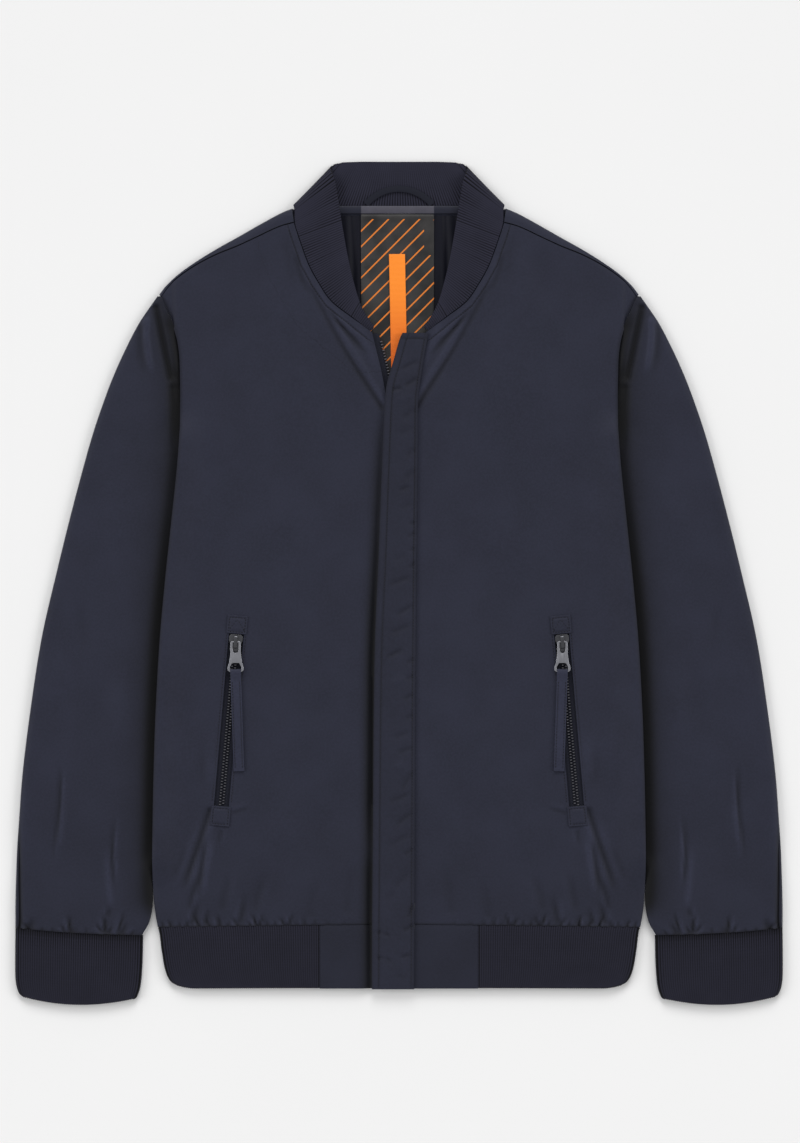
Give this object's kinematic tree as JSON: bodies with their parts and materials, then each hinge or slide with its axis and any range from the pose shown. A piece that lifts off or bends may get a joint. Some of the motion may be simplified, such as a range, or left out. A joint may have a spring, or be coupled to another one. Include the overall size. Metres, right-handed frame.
{
  "type": "bomber jacket laid flat",
  "caption": "Light bomber jacket laid flat: plain woven shell, rib-knit collar, cuffs and hem, storm flap over the front zip, slanted zipped pockets with fabric pulls.",
  "frame": {"origin": "middle of the jacket's outline, on the surface it lies on", "axes": "+X to the wearer's left, +Y from hem to collar, +Z out of the front, up from the surface"},
  "size_m": [0.6934, 0.7585, 0.0128],
  "materials": {
    "shell_cloth": "dark navy plain-weave microfibre, faint sheen",
    "rib_knit": "matt fine rib knit, blue-black",
    "lining_cloth": "smooth navy lining",
    "label_cloth": "charcoal woven panel with thin slanting orange stripes",
    "orange_ribbon": "bright orange woven ribbon, slight sheen",
    "tape_cloth": "navy woven tape",
    "zip_teeth": "dark moulded teeth",
    "pull_metal": "satin gunmetal"
  },
  "bodies": {
    "jacket": {"back": "shell_cloth", "front_right": "shell_cloth", "front_left": "shell_cloth", "sleeve_right": "shell_cloth", "sleeve_left": "shell_cloth", "hem_tab_right": "shell_cloth", "hem_tab_left": "shell_cloth", "storm_flap": "shell_cloth", "collar": "rib_knit", "cuff_right": "rib_knit", "cuff_left": "rib_knit", "hem_rib": "rib_knit", "zip_tape_right": "tape_cloth", "zip_tape_left": "tape_cloth", "neck_tape": "tape_cloth", "hanger_loop": "tape_cloth", "neck_lining": "lining_cloth", "neck_label": "label_cloth", "ribbon": "orange_ribbon", "zip_chain": "zip_teeth", "zip_slider": "zip_teeth", "pocket_right_patch_top": "shell_cloth", "pocket_right_patch_bottom": "shell_cloth", "pocket_right_tape": "tape_cloth", "pocket_right_chain": "zip_teeth", "pocket_right_slider": "pull_metal", "pocket_left_patch_top": "shell_cloth", "pocket_left_patch_bottom": "shell_cloth", "pocket_left_tape": "tape_cloth", "pocket_left_chain": "zip_teeth", "pocket_left_slider": "pull_metal"},
    "pull_right": {"pocket_right_puller": "pull_metal", "pocket_right_strap": "shell_cloth"},
    "pull_left": {"pocket_left_puller": "pull_metal", "pocket_left_strap": "shell_cloth"}
  },
  "joints": [
    {"name": "pocket_pull_right", "type": "hinge", "parent": "jacket", "child": "pull_right", "pos_m": [-0.14691, -0.05287, 0.01], "axis": [-1, 0, 0], "range_deg": [0, 170]},
    {"name": "pocket_pull_left", "type": "hinge", "parent": "jacket", "child": "pull_left", "pos_m": [0.14691, -0.05287, 0.01], "axis": [-1, 0, 0], "range_deg": [0, 170]}
  ]
}
